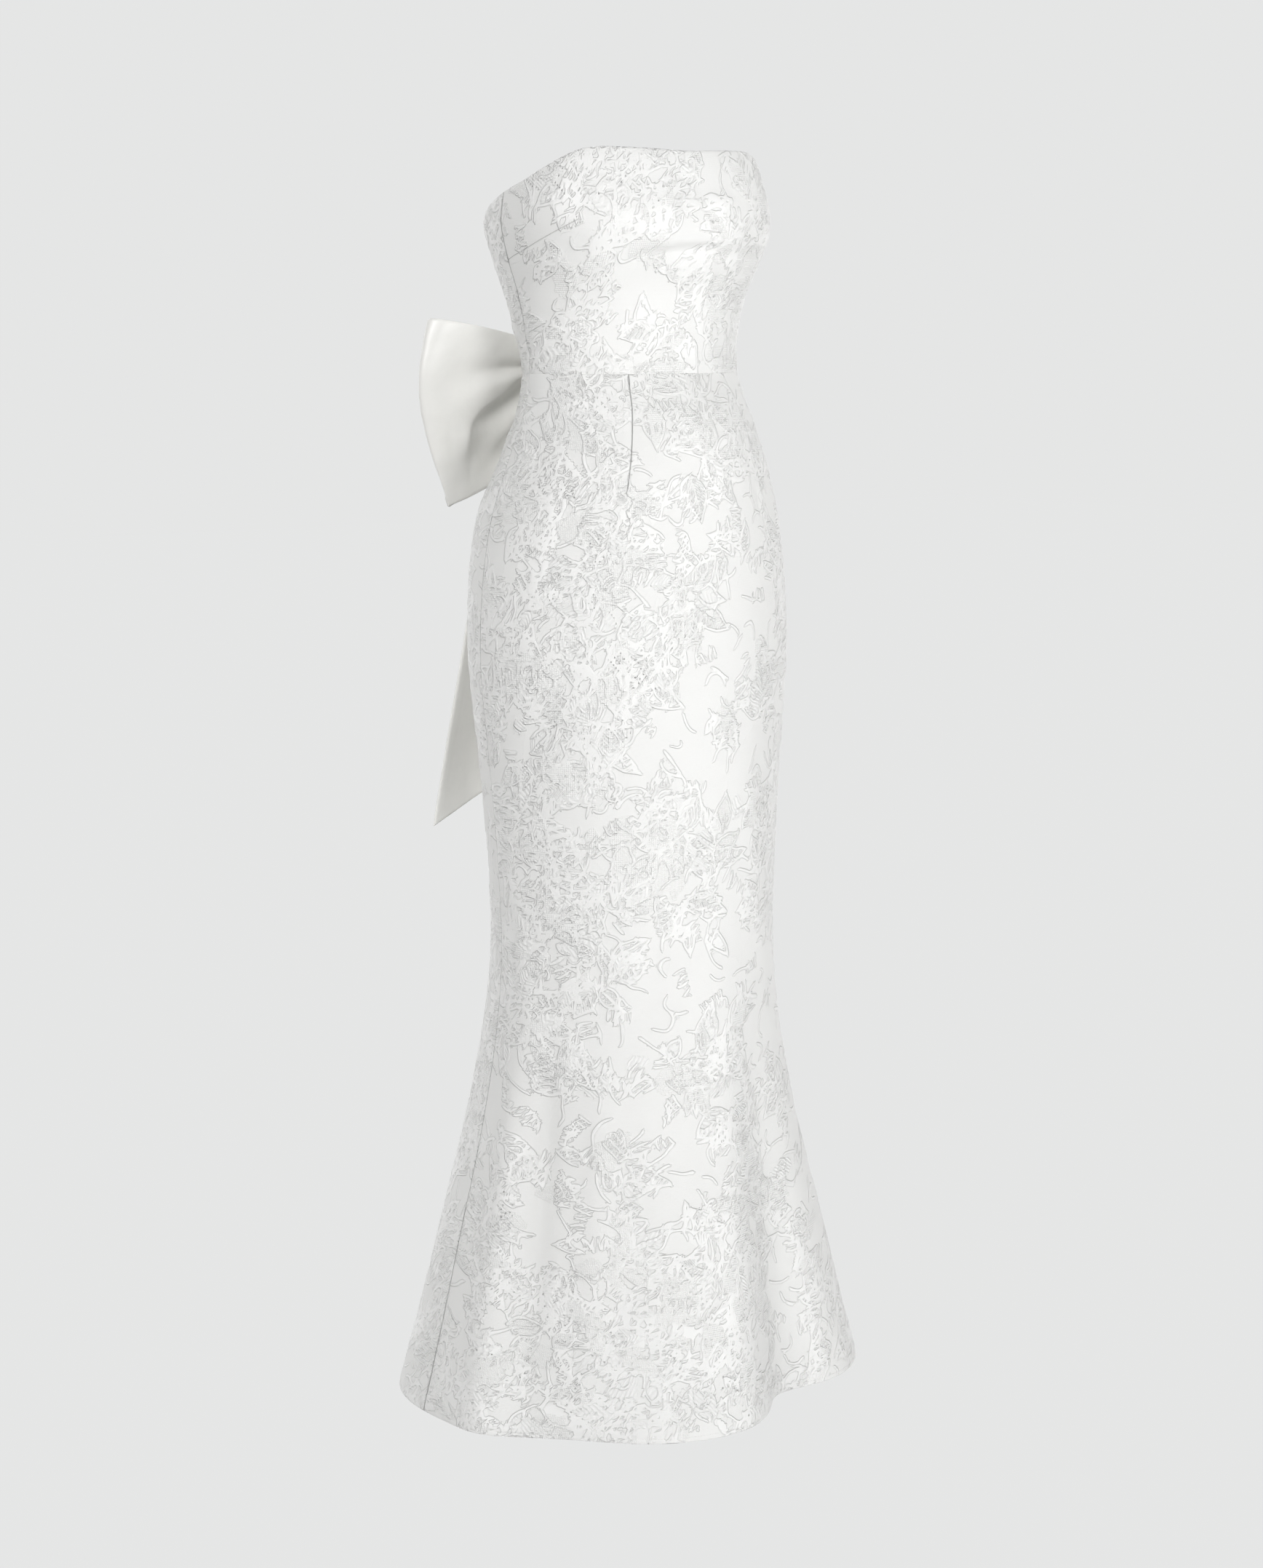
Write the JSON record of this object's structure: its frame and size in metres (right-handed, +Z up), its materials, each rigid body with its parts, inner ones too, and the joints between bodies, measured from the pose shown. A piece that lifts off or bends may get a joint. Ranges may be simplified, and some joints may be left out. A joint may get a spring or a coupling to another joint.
{
  "type": "strapless mermaid gown with a bow at the back",
  "caption": "Strapless mermaid gown, worn form: fitted to the knee, flared and fluted below, with a bow and tails at the back of the waist.",
  "frame": {"origin": "middle of the gown's waist, level with the waist seam, where the wearer holds it", "axes": "+Z up, -Y is the gown's front, +Y its back with the bow, +X the wearer's left"},
  "size_m": [0.5058, 0.4527, 1.2965],
  "materials": {
    "jacquard": "white jacquard with raised flowers and leaves on a satin ground",
    "satin": "smooth heavy satin, slightly warmer white, soft sheen",
    "zip_tape": "matte woven tape with a white coil",
    "zip_enamel": "white enamel, semi-gloss"
  },
  "bodies": {
    "gown": {"bodice_front": "jacquard", "bodice_back_left": "jacquard", "bodice_back_right": "jacquard", "skirt_front": "jacquard", "skirt_back_left": "jacquard", "skirt_back_right": "jacquard", "bow_loop_left": "satin", "bow_loop_right": "satin", "bow_tail_left": "satin", "bow_tail_right": "satin", "bow_knot": "satin", "zip_chain": "zip_tape", "zip_slider": "zip_enamel"},
    "pull": {"zip_pull": "zip_enamel"}
  },
  "joints": [
    {"name": "pull_swing", "type": "hinge", "parent": "gown", "child": "pull", "pos_m": [0, 0.14458, 0.1297], "axis": [1, 0, 0], "range_deg": [-10, 140]}
  ]
}
